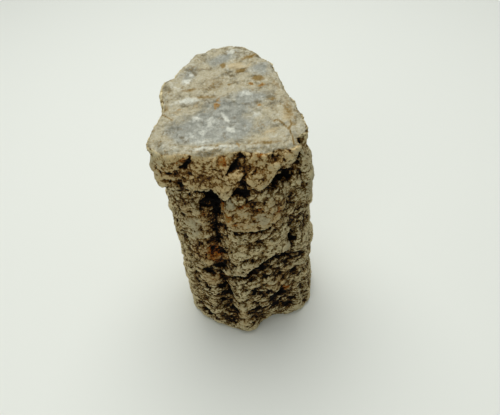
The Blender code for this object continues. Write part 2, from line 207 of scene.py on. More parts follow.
# Hollows that go deep into the stone: a share here is a depth in millimetres.
CAVES = (
    Spot(-119, 66.6, 3.0, 2.2, 2.6),
    Spot(-113.5, 64.0, 1.3, 2.6, 1.4),
    Spot(-88, 75.4, 2.0, 2.4, 2.0),
    Spot(-88, 71.8, 2.6, 1.0, 1.2),
    Spot(-62, 79.4, 1.6, 1.1, 1.2),
    Spot(-54, 72.8, 3.2, 1.1, 1.8),
    Spot(-136, 80.2, 1.2, 0.7, 0.8),
    Spot(-135.5, 76.6, 1.6, 1.0, 1.0),
    Spot(-132.5, 75.0, 1.2, 0.7, 0.8),
    Spot(-118, 58.0, 1.6, 3.4, 0.6),
    Spot(-122, 36.0, 2.2, 1.2, 1.4),
    Spot(-80, 35.0, 3.6, 1.4, 1.0),
    Spot(-116.5, 24.2, 1.8, 1.2, 1.1),
    Spot(-115.5, 20.0, 2.0, 1.1, 0.9),
    Spot(-140, 5.4, 2.2, 1.2, 1.0),
    Spot(-129, 4.4, 3.2, 1.1, 1.0),
    Spot(-108, 10.8, 2.2, 1.2, 1.0),
    Spot(-86, 12.6, 1.4, 1.8, 0.8),
    Spot(-62, 16.4, 4.0, 1.4, 1.1),
    Spot(-66, 11.2, 4.0, 1.0, 0.9),
    Spot(-48, 10.6, 2.0, 1.1, 0.8),
    Spot(-44, 43.4, 1.2, 1.9, 1.8),
    Spot(-36, 12.0, 1.2, 7.0, 0.9),
    Spot(-36, 52.6, 1.6, 2.4, 0.7),
)
# Ridges that stand out a little: a share here is a rise in millimetres.
RIDGES = (
    Spot(-97, 12.0, 1.0, 11.0, 0.5),
    Spot(-101, 26.0, 1.4, 5.0, 0.3),
    Spot(-125, 13.0, 1.0, 9.0, 0.5),
    Spot(-147, 30.0, 1.2, 16.0, 0.5),
    Spot(-41.5, 18.0, 0.9, 12.0, 0.5),
    Spot(-127.8, 77.0, 0.6, 5.0, 0.5),
    Spot(-96, 50.0, 2.2, 6.0, 0.4),
)

Crevice = namedtuple("Crevice", "path half_wide depth")

# Black crevices: under the cap's edge and the ledges' edges, and down the notches of the cap. Each is carved
# and painted black, partly black earth and partly painted shade under the edges.
CREVICES = (
    Crevice(((-152, 71.8), (-143, 72.4), (-137, 72.6), (-131, 72.6), (-127, 73.6)), 0.6, 0.6),
    Crevice(((-126, 69.0), (-120, 69.4), (-113, 67.8), (-106, 69.3), (-101, 70.4), (-96, 71.8), (-92, 72.6)),
            0.7, 0.5),
    Crevice(((-82, 75.0), (-80, 73.2), (-73, 73.0), (-68, 73.2), (-61, 72.8), (-53, 72.8), (-48, 73.4)),
            0.6, 0.5),
    Crevice(((-105, 63.0), (-102, 59.0), (-99, 55.6), (-94, 55.2), (-88, 55.6), (-82, 54.7), (-75, 54.2),
             (-70, 54.1), (-62, 56.7), (-54, 58.0)), 0.45, 0.45),
    Crevice(((-133, 33.6), (-124, 31.6), (-117, 30.9), (-110, 31.2), (-103, 31.7), (-92, 32.8), (-85, 35.2),
             (-76, 37.4), (-69, 38.5), (-60, 37.4), (-46, 34.8)), 0.7, 0.6),
    Crevice(((-123.5, 88.4), (-122, 86.9), (-122.5, 84.8), (-125.5, 82.9), (-128.5, 82.6)), 0.55, 0.7),
    Crevice(((-88.5, 88.4), (-88, 86.6), (-88, 85.6), (-90.5, 83.8), (-93.5, 82.9), (-96.5, 82.0),
             (-98.5, 80.8)), 0.5, 0.8),
    Crevice(((-88, 85.9), (-84.5, 85.4)), 0.4, 0.5),
    Crevice(((-98, 77.6), (-95, 78.2), (-91, 78.6), (-86, 79.8), (-82, 82.0)), 0.35, 0.4),
    Crevice(((-64, 88.0), (-66, 85.0)), 0.4, 0.5),
    Crevice(((-60, 84.6), (-60.5, 81.4)), 0.4, 0.4),
    Crevice(((-48, 88.0), (-43, 84.0), (-40, 78.0)), 0.8, 0.7),
    Crevice(((-40, 78.0), (-38, 71.0), (-34, 64.0), (-32, 60.0)), 0.3, 0.3),
    Crevice(((-145, 81.6), (-143.5, 81.0), (-141.5, 79.4), (-139.5, 76.8), (-136, 76.0)), 0.35, 0.6),
    Crevice(((-149, 86.4), (-142, 85.4), (-135, 84.2)), 0.2, 0.25),
    Crevice(((-36, 22.0), (-37.5, 15.0), (-35, 8.0), (-36, 3.0)), 0.45, 0.4),
    Crevice(((-113, 64.5), (-116, 60.0), (-117.5, 55.0), (-118.5, 50.0), (-116, 46.6)), 0.45, 0.6),
    Crevice(((-116, 54.0), (-111, 50.4), (-105, 46.6), (-98, 43.6)), 0.3, 0.4),
    Crevice(((-125, 64.2), (-124.5, 61.4), (-120, 60.0), (-118, 60.6)), 0.35, 0.4),
    Crevice(((-123, 58.4), (-119, 57.6), (-117, 56.0)), 0.3, 0.4),
    Crevice(((-127, 54.6), (-122, 54.0), (-118, 51.6)), 0.3, 0.4),
    Crevice(((-138, 51.8), (-132.5, 50.9), (-128, 49.8), (-122, 48.8)), 0.3, 0.4),
    Crevice(((-91, 52.2), (-83, 49.1), (-77, 47.8)), 0.3, 0.4),
    Crevice(((-102.5, 70.8), (-102, 68.6), (-98.5, 67.2), (-96, 67.0)), 0.25, 0.3),
    Crevice(((-97, 67.3), (-91.5, 67.4), (-87.5, 66.2), (-80.5, 65.2), (-75.5, 65.4), (-69, 66.2)),
            0.4, 0.25),
    Crevice(((-84, 64.4), (-83, 62.4), (-80.5, 60.2), (-77, 59.0)), 0.35, 0.3),
    Crevice(((-133, 24.8), (-130, 22.9), (-126, 19.0)), 0.4, 0.5),
    Crevice(((-143, 30.0), (-138, 24.0), (-133, 15.0)), 0.35, 0.3),
    Crevice(((-80, 19.4), (-74.5, 22.1), (-66, 19.4)), 0.6, 0.6),
    Crevice(((-80, 12.4), (-73, 13.4), (-64, 11.0), (-56, 9.2)), 0.7, 0.6),
)

Patch = namedtuple("Patch", "x y half_long half_short turn share")

# On the top break, in plan: a patch's middle, its half length and width, and how far it is turned.
BLUE_PATCHES = (
    Patch(-5.5, -11.0, 11.5, 5.6, 3, 1.5),
    Patch(-2.0, -6.0, 8.0, 4.0, 0, 1.1),
    Patch(4.6, -1.6, 5.6, 3.4, 10, 1.0),
    Patch(9.4, 9.4, 3.6, 3.6, 0, 0.8),
    Patch(-3.0, 14.6, 4.6, 2.8, 0, 0.95),
    Patch(-13.0, 8.0, 3.6, 4.0, 0, 0.6),
)
CREAM_PATCHES = (
    Patch(1.9, 10.5, 4.0, 1.6, 8, 1.3),
    Patch(9.8, -15.0, 3.2, 0.8, 6, 0.9),
    Patch(4.6, -16.6, 2.6, 0.9, -6, 0.6),
    Patch(-10.4, -3.4, 1.4, 0.6, 0, 0.8),
    Patch(-14.6, -5.6, 4.6, 1.6, 4, 0.7),
    Patch(14.8, -11.0, 2.4, 4.0, 0, 0.9),
    Patch(8.5, -17.6, 5.0, 1.6, 0, 0.8),
    Patch(-9.0, 12.6, 4.0, 2.0, 10, 0.5),
)
OLIVE_PATCHES = (
    Patch(-4.8, 4.6, 5.0, 4.6, 0, 0.6),
    Patch(-8.0, -0.8, 4.4, 0.9, -8, 0.9),
    Patch(-0.7, 3.5, 0.9, 0.8, 0, 1.0),
    Patch(8.0, 5.8, 2.0, 0.9, -15, 1.7),
    Patch(11.3, -3.8, 1.6, 1.1, 20, 0.8),
    Patch(-19.6, -3.6, 1.4, 1.6, 0, 0.9),
    Patch(-12.6, 2.6, 3.4, 0.9, 18, 0.9),
    Patch(6.0, 14.4, 3.0, 0.9, 25, 1.1),
    Patch(-9.0, -17.6, 12.0, 0.5, -4, 0.7),
    Patch(3.0, 8.6, 2.2, 0.7, 20, 1.4),
    Patch(-2.2, 11.2, 0.9, 1.4, 0, 1.4),
    Patch(15.4, -9.0, 1.6, 6.0, 0, 0.9),
    Patch(8.0, -19.0, 5.0, 0.9, 0, 0.9),
    Patch(13.0, 2.0, 1.0, 4.0, 20, 0.7),
)
TOP_RUST_PATCHES = (
    Patch(5.9, 4.1, 1.1, 0.5, -20, 1.5),
    Patch(8.8, 3.1, 1.3, 0.6, 0, 1.5),
    Patch(-4.7, -3.7, 1.7, 0.9, 62, 1.1),
    Patch(-3.9, -2.0, 0.7, 0.5, 20, 1.0),
    Patch(7.5, -5.4, 0.7, 0.6, 20, 1.4),
    Patch(-15.0, -4.5, 1.9, 0.3, -6, 1.0),
    Patch(9.8, -15.8, 2.2, 0.25, 6, 0.9),
    Patch(0.6, -18.4, 0.9, 1.0, 0, 0.9),
)
WHITE_PATCHES = (
    Patch(-2.3, -8.2, 2.0, 0.6, -62, 1.1),
    Patch(-1.3, -12.0, 1.7, 0.8, -25, 1.2),
    Patch(-6.9, -8.9, 1.5, 1.4, 0, 0.8),
    Patch(-10.6, -7.2, 1.1, 0.9, 0, 0.7),
    Patch(-9.0, -12.2, 1.3, 0.9, 60, 0.7),
    Patch(-8.6, -15.4, 3.0, 0.9, 0, 0.7),
    Patch(-13.0, -13.6, 2.4, 1.4, 0, 0.5),
    Patch(-13.5, 6.4, 1.3, 0.9, 20, 1.1),
    Patch(-13.0, -1.6, 3.6, 1.2, 10, 0.9),
    Patch(-12.0, 9.6, 0.7, 0.6, 0, 0.9),
    Patch(-16.0, 3.6, 2.4, 0.7, -30, 0.6),
    Patch(4.4, -0.2, 2.2, 1.0, 10, 0.7),
    Patch(0.6, 17.0, 1.8, 0.8, 0, 0.6),
    Patch(6.2, -8.0, 1.6, 0.9, -20, 0.5),
    Patch(-8.0, -19.0, 12.0, 1.2, -4, 0.5),
)
VEINS = (
    ((11.0, -12.2), (12.0, -12.3), (13.4, -13.8), (14.8, -15.4), (15.4, -17.3), (15.7, -20.0)),
    ((14.8, -15.4), (15.6, -14.2), (15.4, -12.8)),
    ((-21.0, -5.2), (-19.0, -7.0), (-17.6, -8.2)),
    ((6.0, 14.2), (7.9, 15.6)),
)
VEIN_HALF_WIDE = 0.36
# The walls of a crevice or a vein ease off out to this many half widths.
WALL_RUN = 1.6
# How many times the mesh is smoothed, to level the facets, and again after the caves are cut.
FACET_PASSES = 6
CAVE_PASSES = 1
# How many times the survey averages over the mesh, to level the small lumps, the broad ones, the way that the
# stone faces, the brim under the break and the edge of the break.
LUMP_PASSES = 40
BROAD_PASSES = 260
FACING_PASSES = 12
BRIM_PASSES = 80
EDGE_PASSES = 5


class StoneSettings(PropertyGroup):
    """Sizes and colours of the stone."""

    grid: FloatProperty(
        name="Mesh grid", description="Spacing of the stone's mesh", default=0.5 * MM, min=0.3 * MM,
        max=2 * MM, unit="LENGTH", precision=5,
    )
    lump_size: FloatProperty(
        name="Lump size", description="Width of a bark lump", default=3.6 * MM, unit="LENGTH", precision=5,
    )
    knob_size: FloatProperty(
        name="Knob size", description="Width of the small knobs on the lumps", default=1.6 * MM,
        unit="LENGTH", precision=5,
    )
    scale_size: FloatProperty(
        name="Scale size", description="Width of the finest scales on the knobs", default=0.9 * MM,
        unit="LENGTH", precision=5,
    )
    grain_size: FloatProperty(
        name="Grain size", description="Width of the finest grain", default=0.5 * MM, unit="LENGTH",
        precision=5,
    )
    # Black of the crevices and caves: partly black earth, partly painted shade.
    earth_and_shade: FloatVectorProperty(
        name="Earth", description="Black fill of the crevices", subtype="COLOR", default=linear("#0b0703"),
    )
    brown: FloatVectorProperty(
        name="Brown", description="Brown skin on the walls of the crevices", subtype="COLOR",
        default=linear("#52300a"),
    )
    olive: FloatVectorProperty(
        name="Olive brown", description="Lower parts of the bark", subtype="COLOR",
        default=linear("#7e6429"),
    )
    bark: FloatVectorProperty(
        name="Bark", description="Bark lumps", subtype="COLOR", default=linear("#9e9064"),
    )
    # Lighter tops of the lumps: partly wear, partly painted light.
    worn_and_lit_bark: FloatVectorProperty(
        name="Light bark", description="The worn tops of the lumps", subtype="COLOR",
        default=linear("#dccfa2"),
    )
    bark_grey: FloatVectorProperty(
        name="Grey bark", description="Lumps of clear grey silica in the bark", subtype="COLOR",
        default=linear("#aaa588"),
    )
    # Lighter tops of the stained lumps: partly wear, partly painted light.
    worn_and_lit_ochre: FloatVectorProperty(
        name="Light ochre", description="Worn tops of the stained lumps", subtype="COLOR",
        default=linear("#c8ae78"),
    )
    ochre: FloatVectorProperty(
        name="Ochre", description="Warm brown stain of the bark", subtype="COLOR",
        default=linear("#9c793a"),
    )
    tan: FloatVectorProperty(
        name="Tan", description="Stained bark low on the lumps", subtype="COLOR",
        default=linear("#78501b"),
    )
    rust: FloatVectorProperty(
        name="Rust", description="Rust stain", subtype="COLOR", default=linear("#aa6210"),
    )
    deep_rust: FloatVectorProperty(
        name="Deep rust", description="Rust in the crevices", subtype="COLOR", default=linear("#8a420c"),
    )
    cream: FloatVectorProperty(
        name="Cream", description="Cream stain of the top break", subtype="COLOR",
        default=linear("#bcab84"),
    )
    grey_silica: FloatVectorProperty(
        name="Grey silica", description="Clear silica of the bowl", subtype="COLOR",
        default=linear("#898b81"),
    )
    beige_silica: FloatVectorProperty(
        name="Beige silica", description="Cloudy silica of the top break", subtype="COLOR",
        default=linear("#aaa286"),
    )
    dark_silica: FloatVectorProperty(
        name="Dark silica", description="Clouds of darker silica in the top break", subtype="COLOR",
        default=linear("#685e42"),
    )
    white_silica: FloatVectorProperty(
        name="White silica", description="White flakes and crystals", subtype="COLOR",
        default=linear("#d2d3c4"),
    )


class StageSettings(PropertyGroup):
    """The floor and the light."""

    floor: FloatVectorProperty(
        name="Floor", description="Floor colour", subtype="COLOR", default=linear("#dfe2da"),
    )
    key_power: FloatProperty(
        name="Key light", description="Power of the large light behind and above", default=4.1,
        unit="POWER",
    )
    fill_power: FloatProperty(
        name="Fill light", description="Power of the light at the front left", default=0.66, unit="POWER",
    )
    sky: FloatProperty(
        name="Sky", description="Brightness of the light from all round", default=0.24,
    )


def eased(share):
    """0 to 1 with a level start and end, for shares below 0 to above 1."""
    share = np.clip(share, 0, 1)
    return share * share * (3 - 2 * share)


# The stone's mesh


def mesh_points(mesh, layer="vertices", name="co"):
    """The points or directions that a mesh holds, as rows of x, y and z."""
    items = getattr(mesh, layer)
    values = np.empty(len(items) * 3, np.float32)
    items.foreach_get(name, values)
    return values.reshape(-1, 3).astype(float)


def applied(obj):
    """The object's mesh is replaced by the one that its modifiers make."""
    graph = bpy.context.evaluated_depsgraph_get()
    mesh = bpy.data.meshes.new_from_object(obj.evaluated_get(graph))
    obj.modifiers.clear()
    obj.data = mesh


def fine_copy(node, name, grid):
    """A copy of a CAD node with an even fine mesh, its facets smoothed away and its caves cut."""
    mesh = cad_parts[node].data.copy()
    merged = bmesh.new()
    merged.from_mesh(mesh)
    bmesh.ops.remove_doubles(merged, verts=merged.verts, dist=0.001 * MM)
    merged.to_mesh(mesh)
    merged.free()
    mesh.materials.clear()
    obj = bpy.data.objects.new(name, mesh)
    bpy.context.scene.collection.objects.link(obj)
    even_out(obj, grid, FACET_PASSES)
    cut_and_raise(obj)
    even_out(obj, grid, CAVE_PASSES)
    return obj


def even_out(obj, grid, passes):
    """Gives the object an even mesh of small faces, and smooths it by a number of passes."""
    remesh = obj.modifiers.new("even mesh", "REMESH")
    remesh.mode = "VOXEL"
    remesh.voxel_size = grid
    smooth = obj.modifiers.new("facets off", "SMOOTH")
    smooth.iterations = passes
    applied(obj)


def cut_and_raise(obj):
    """Sinks the caves into the stone, and raises the ridges, but not at the break or at the base."""
    mesh = obj.data
    points = mesh_points(mesh)
    outward = mesh_points(mesh, "vertex_normals", "vector")
    angle, height = unrolled(points / MM)
    depth = spot_share(CAVES, angle, height) - spot_share(RIDGES, angle, height)
    depth *= eased((88 - height) / 4) * eased(height / 3) * MM
    # They go in mostly level.
    inward = outward * np.array([1, 1, 0.3])
    mesh.vertices.foreach_set("co", (points - inward * depth[:, None]).astype(np.float32).ravel())
    mesh.update()


def unrolled(points):
    """The angle round the limb and the height of each point, in degrees and millimetres."""
    x, y = points[:, 0] - LIMB_AXIS[0], points[:, 1] - LIMB_AXIS[1]
    return np.degrees(np.arctan2(y, x)), points[:, 2]


def averaged(points, edges, times):
    """The points after each is moved towards the mean of its neighbours a number of times."""
    count = np.bincount(edges.ravel(), minlength=len(points))[:, None]
    for _ in range(times):
        total = np.zeros_like(points)
        for axis in range(points.shape[1]):
            total[:, axis] = np.bincount(edges[:, 0], points[edges[:, 1], axis], len(points))
            total[:, axis] += np.bincount(edges[:, 1], points[edges[:, 0], axis], len(points))
        points = (points + total / count) / 2
    return points


def turned_by(angle, other):
    """The turn from the second angle to the first, from -180 to 180 degrees."""
    return (angle - other + 180) % 360 - 180


def arc_between(angle, other):
    """Millimetres round the limb from the second angle to the first, signed."""
    return np.radians(turned_by(angle, other)) * LIMB_RADIUS


def spot_share(spots, angle, height):
    """How strongly a place on the sides lies within any of the spots."""
    share = np.zeros(len(angle))
    for spot in spots:
        across = arc_between(angle, spot.angle) / spot.half_wide
        up = (height - spot.height) / spot.half_tall
        share = np.maximum(share, spot.share * np.exp(-(across**2) - up**2))
    return share


def patch_share(patches, x, y):
    """How strongly a place on the top lies within any of the patches."""
    share = np.zeros(len(x))
    for patch in patches:
        turn = math.radians(patch.turn)
        along = ((x - patch.x) * math.cos(turn) + (y - patch.y) * math.sin(turn)) / patch.half_long
        across = ((y - patch.y) * math.cos(turn) - (x - patch.x) * math.sin(turn)) / patch.half_short
        share = np.maximum(share, patch.share * np.exp(-(along**2) - across**2))
    return share


def nearest_on(path, across, up):
    """Distance from each place to a path of (across, up) points."""
    nearest = np.full(len(across), np.inf)
    for (from_across, from_up), (to_across, to_up) in zip(path, path[1:]):
        run, climb = to_across - from_across, to_up - from_up
        share = ((across - from_across) * run + (up - from_up) * climb) / (run**2 + climb**2)
        share = np.clip(share, 0, 1)
        away = np.hypot(across - from_across - share * run, up - from_up - share * climb)
        nearest = np.minimum(nearest, away)
    return nearest


def crevice_share(crevice, angle, height):
    """1 in the middle of a crevice of the sides, 0 beyond its walls."""
    middle = crevice.path[0][0]
    path = [(arc_between(at, middle), up) for at, up in crevice.path]
    away = nearest_on(path, arc_between(angle, middle), height)
    return 1 - eased(away / crevice.half_wide / WALL_RUN)


def wandering(angle, height):
    """The places moved a little to and fro, so that spots and crevices lose their even outlines."""
    along = np.radians(angle) * LIMB_RADIUS
    across = 0.2 * np.sin(1.3 * height + 0.4 * along) + 0.2 * np.sin(2.9 * height - 1.1 * along + 2)
    up = 0.2 * np.sin(1.1 * along - 0.5 * height + 1) + 0.15 * np.sin(2.7 * along + 0.9 * height)
    return angle + np.degrees(across / LIMB_RADIUS), height + up


def keep(mesh, name, values):
    """Stores a number or a place for each vertex, under a name that the relief and the finish read."""
    kind, field = ("FLOAT", "value") if values.ndim == 1 else ("FLOAT_VECTOR", "vector")
    attribute = mesh.attributes.new(name, kind, "POINT")
    attribute.data.foreach_set(field, values.astype(np.float32).ravel())


def hollowness(points, outward, edges):
    """How far each place lies under the mean of what is round it, near by and further off."""
    soft = averaged(points, edges, LUMP_PASSES)
    softer = averaged(soft, edges, BROAD_PASSES)
    hollow = np.einsum("ij,ij->i", soft - points, outward)
    return hollow + 0.5 * np.clip(np.einsum("ij,ij->i", softer - soft, outward), -1, 1)


def break_share(outward, edges, height):
    """1 on the breaks at the top and at the base, 0 on the bark."""
    outward = averaged(outward, edges, FACING_PASSES)
    upward = outward[:, 2] / np.linalg.norm(outward, axis=1)
    over = eased((upward - 0.45) / 0.3) * eased((height - TOP_START) / 2)
    under = eased((-upward - 0.6) / 0.3) * eased((2 - height) / 1.5)
    return np.maximum(over, under)


def brim_share(broken, edges, angle, height):
    """How pale the wall is just under the break, most of all at the front left."""
    upper = broken[:, None] * (height > 70)[:, None]
    share = np.minimum(2.2 * averaged(upper, edges, BRIM_PASSES)[:, 0], 1)
    return share * (0.1 + 0.9 * eased((24 - np.abs(turned_by(angle, PALE_BRIM))) / 8))


def lump_places(points, angle, front):
    """Where the bark's patterns are read, so that lumps are flatter low on the stone and broader lowest."""
    height = points[:, 2]
    lie = points.copy()
    flat = front * eased((LOW_BARK - height) / 5) + (1 - front) * eased((60 - height) / 50)
    lie[:, :2] *= 1 - 0.35 * flat[:, None]
    facing = eased((160 - np.abs(turned_by(angle, FRONT))) / 120)
    tall = np.interp(height, (0, 36, 66, 100), (0, 61, 103, 140))
    lie[:, 2] = facing * tall + (1 - facing) * 1.35 * height
    return lie


def survey(obj):
    """Measures the smoothed stone, and stores what its relief and its finish go by."""
    mesh = obj.data
    points = mesh_points(mesh) / MM
    outward = mesh_points(mesh, "vertex_normals", "vector")
    edges = np.empty(len(mesh.edges) * 2, np.int32)
    mesh.edges.foreach_get("vertices", edges)
    edges = edges.reshape(-1, 2)
    x, y = points[:, 0] - LIMB_AXIS[0], points[:, 1] - LIMB_AXIS[1]
    angle, height = unrolled(points)
    broken = break_share(outward, edges, height)
    wall = 1 - broken
    top = broken * eased((height - 60) / 4)

    angle, height = wandering(angle, height)
    front = eased((80 - np.abs(turned_by(angle, FRONT))) / 30)
    brim = brim_share(broken, edges, angle, height)
    low = eased((LOW_BARK - height) / 6)
    # Painted black: black earth and painted shade in the caves, gaps and crevices, and a little darker low on
    # the front.
    black = np.maximum(spot_share(BLACK_SPOTS, angle, height), 0.06 * low * front) * wall
    carved = np.zeros(len(points))
    for crevice in CREVICES:
        share = crevice_share(crevice, angle, height) * wall
        carved = np.maximum(carved, share * crevice.depth)
        black = np.maximum(black, min(2.4 * crevice.depth, 1.3) * share)
    worn = np.maximum(spot_share(WORN_SPOTS, angle, height), 0.5 * (1 - front))

    from_vein = np.minimum.reduce([nearest_on(path, x, y) for path in VEINS])
    vein = 1 - eased(from_vein / VEIN_HALF_WIDE / WALL_RUN)
    ochre = spot_share(OCHRE_SPOTS, angle, height) * wall + patch_share(CREAM_PATCHES, x, y) * top
    # A thin olive line runs along most of the edge of the break.
    edge = averaged(broken[:, None], edges, EDGE_PASSES)[:, 0]
    line = (4 * edge * (1 - edge)) ** 3 * (height > 70) * (1 - 0.7 * brim)

    values = {
        "rest": points,
        "lie": lump_places(points, angle, front),
        "hollow": hollowness(points, outward, edges),
        "broken": broken,
        "black": black,
        "rust": spot_share(RUST_SPOTS, angle, height) * wall + patch_share(TOP_RUST_PATCHES, x, y) * top,
        "ochre": np.maximum(ochre, 0.6 * (1 - eased(from_vein / 1.4)) * top),
        "pale": spot_share(PALE_SPOTS, angle, height) * wall + patch_share(WHITE_PATCHES, x, y) * top,
        "worn": np.maximum(worn, 1.6 * brim) * wall,
        "brim": brim * wall,
        "blue": patch_share(BLUE_PATCHES, x, y) * top,
        "olive": np.maximum(patch_share(OLIVE_PATCHES, x, y), 0.9 * line) * top,
        "vein": vein * top,
        "carved": carved,
        "free": eased(points[:, 2] / 1.5),
    }
    for name, value in values.items():
        keep(mesh, name, value)


# Patterns that both the relief and the finish are made of, so that a colour lies where its lump does

# What the survey stores of each place on the stone: where it is and where its bark's patterns are read, how
# hollow and how broken it is, its stains, its black of earth and painted shade, how deep it is carved, and
# how free of the base it is.
STORED = {
    "rest": "FLOAT_VECTOR", "lie": "FLOAT_VECTOR", "hollow": "FLOAT", "broken": "FLOAT", "black": "FLOAT",
    "rust": "FLOAT", "ochre": "FLOAT", "pale": "FLOAT", "worn": "FLOAT", "blue": "FLOAT", "olive": "FLOAT",
    "vein": "FLOAT", "carved": "FLOAT", "free": "FLOAT", "brim": "FLOAT",
}
SHADER_OUTPUT = {"FLOAT_VECTOR": "Vector", "FLOAT": "Fac"}
# A mix of colours has its factor and its two colours at these sockets.
COLOR_MIX_INPUTS = (0, 6, 7)
COLOR_MIX_OUTPUT = 2
# How deep in the bark each colour of a palette lies, from its raised parts, lightened with painted light,
# down to the black of earth and painted shade.
BARK_STOPS = (0.02, 0.19, 0.39, 0.65, 0.8)


def add_node(tree, kind, inputs=(), output=0, **settings):
    """Adds a node with its settings, gives or links its inputs, and returns one of its outputs."""
    node = tree.nodes.new(kind)
    for name, value in settings.items():
        setattr(node, name, value)
    for name, value in inputs.items() if isinstance(inputs, dict) else enumerate(inputs):
        if isinstance(value, bpy.types.NodeSocket):
            tree.links.new(value, node.inputs[name])
        else:
            node.inputs[name].default_value = value
    return node.outputs[output] if node.outputs else node


def survey_values(tree):
    """What the survey stored for each vertex, by name, in the relief's tree or in a material's."""
    found = {}
    for name, kind in STORED.items():
        if tree.bl_idname == "GeometryNodeTree":
            found[name] = add_node(tree, "GeometryNodeInputNamedAttribute", {"Name": name}, data_type=kind)
        else:
            found[name] = add_node(
                tree, "ShaderNodeAttribute", output=SHADER_OUTPUT[kind], attribute_name=name
            )
    return found


def summed(tree, start, *terms):
    """start plus each term: a value times a weight, or a weight eased in from one bound to another."""
    for value, *bounds, weight in terms:
        if bounds:
            span = {"Value": value, "From Min": bounds[0], "From Max": bounds[1]}
            value = add_node(tree, "ShaderNodeMapRange", span, interpolation_type="SMOOTHSTEP")
        start = add_node(tree, "ShaderNodeMath", (value, weight, start), operation="MULTIPLY_ADD")
    return start


def laid(tree, ground, *layers):
    """The ground with each layer's colour laid on it, eased in from one bound of its value to another."""
    for value, start, end, most, color in layers:
        share = summed(tree, 0.0, (value, start, end, most))
        mix = dict(zip(COLOR_MIX_INPUTS, (share, ground, color)))
        ground = add_node(tree, "ShaderNodeMix", mix, COLOR_MIX_OUTPUT, data_type="RGBA")
    return ground


def bent(tree, place, size, by):
    """A place moved to and fro by noise of this size, so that a pattern's outlines wander."""
    noise = {"Vector": place, "Scale": 1 / size, "Detail": 4.0, "Roughness": 0.68}
    shift = add_node(tree, "ShaderNodeTexNoise", noise, "Color")
    return add_node(tree, "ShaderNodeVectorMath", (shift, (by, by, by), place), operation="MULTIPLY_ADD")


def domed(tree, place, size):
    """0 to 1, round on each cell of a pattern of this cell size, and the distance from its outline in mm."""
    cells = {"Vector": place, "Scale": 1 / size, "Randomness": 0.95}
    middle = add_node(tree, "ShaderNodeTexVoronoi", cells, feature="F1")
    outline = add_node(tree, "ShaderNodeTexVoronoi", cells, feature="DISTANCE_TO_EDGE")
    square = add_node(tree, "ShaderNodeMath", (middle, 2.0), operation="POWER")
    return summed(tree, 1.0, (square, -1.6)), summed(tree, 0.0, (outline, size))


# The real grain of the stone is far under 0.1 mm wide, too fine to show in the render, so the grain, the
# scales and the sugar of the break are drawn as coarse as they need to show, at 0.5 to 1 mm.
def bark_pattern(tree, stone, at):
    """Height of the bark in millimetres, and how deep a place lies, from 0 on a knob to 1 in a crevice."""
    place = bent(tree, at["lie"], 3.2, 4.2)
    fine_place = bent(tree, at["lie"], 1.4, 2.2)
    # Each noise has its place, the width of its blobs in millimetres, its detail and its roughness.
    swell, drift, sponge, flow, wrinkle, fine_flow, grain = (
        add_node(
            tree, "ShaderNodeTexNoise",
            {"Vector": where, "Scale": 1 / size, "Detail": detail, "Roughness": roughness},
        )
        for where, size, detail, roughness in (
            (at["lie"], 6.5, 2.0, 0.5), (at["lie"], 4.0, 2.0, 0.5), (at["lie"], 2.6, 3.0, 0.6),
            (at["lie"], 3.6, 3.0, 0.58), (fine_place, 1.7, 2.0, 0.6), (fine_place, 1.5, 1.0, 0.5),
            (at["lie"], stone.grain_size * 2 / MM, 2.0, 0.6),
        )
    )
    lump, from_lump = domed(tree, place, stone.lump_size / MM)
    knob, from_knob = domed(tree, fine_place, stone.knob_size / MM)
    scale, from_scale = domed(tree, fine_place, stone.scale_size / MM)
    lumpy = summed(tree, 0.95, (at["worn"], -0.8), (at["pale"], -0.3))
    creased = summed(tree, 1.0, (at["worn"], -0.2), (at["pale"], -0.4))
    # Outlines of lumps widen into crevices and fade out again, and those of knobs do where the others don't.
    lump_gap = add_node(
        tree, "ShaderNodeMapRange",
        {"Value": summed(tree, drift, (at["black"], 0.12)), "From Min": 0.42, "From Max": 0.74,
         "To Min": 0.05, "To Max": 0.9},
    )
    knob_gap = add_node(
        tree, "ShaderNodeMapRange",
        {"Value": summed(tree, drift, (at["black"], -0.1)), "From Min": 0.58, "From Max": 0.34,
         "To Min": 0.02, "To Max": 0.42},
    )
    # Creases run along a level of a noise, so that they wander and close on themselves.
    from_crease, from_fine_crease = (
        add_node(tree, "ShaderNodeMath", (summed(tree, -0.5 * size, (noise, size)),), operation="ABSOLUTE")
        for noise, size in ((flow, 12.0), (fine_flow, 6.0))
    )
    pit = summed(tree, sponge, (at["black"], 0.1), (at["worn"], -0.05), (at["pale"], -0.05))
    lump_rise = summed(
        tree, -0.42, (knob, 0.16), (from_knob, knob_gap, 0.0, -0.14),
        (lump, 0.6), (from_lump, lump_gap, 0.0, -0.4),
    )
    crease_rise = summed(
        tree, -0.5, (wrinkle, 1.0), (from_crease, knob_gap, 0.0, -0.4), (from_fine_crease, 0.18, 0.0, -0.12),
    )
    rise = summed(
        tree, -0.75, (swell, 1.6), (pit, 0.58, 0.68, -0.8), (lump_rise, lumpy), (crease_rise, creased),
        (grain, 0.3), (from_scale, 0.12, 0.0, -0.1),
    )
    lump_depth = summed(
        tree, 0.34, (knob, -0.26), (from_knob, knob_gap, 0.0, 0.14), (from_knob, 0.5, 0.0, 0.1),
        (lump, -0.4), (from_lump, lump_gap, 0.0, 0.3), (from_lump, 1.0, 0.0, 0.2),
    )
    crease_depth = summed(
        tree, 0.45, (wrinkle, -1.2), (from_crease, knob_gap, 0.0, 0.26), (from_crease, 0.9, 0.0, 0.17),
        (from_fine_crease, 0.2, 0.0, 0.2),
    )
    # The hollow term makes the colour darker in the stone's hollows, near by and broad: painted shade. The
    # black term adds the black of earth and painted shade.
    depth = summed(
        tree, 0.62, (lump_depth, lumpy), (crease_depth, creased), (pit, 0.56, 0.68, 0.45),
        (from_scale, 0.22, 0.0, 0.26), (scale, -0.2), (at["hollow"], 0.45), (at["black"], 0.24),
        (at["black"], 0.5, 1.0, 0.5), (at["pale"], -0.25), (swell, -0.4), (grain, -0.5),
    )
    return rise, depth


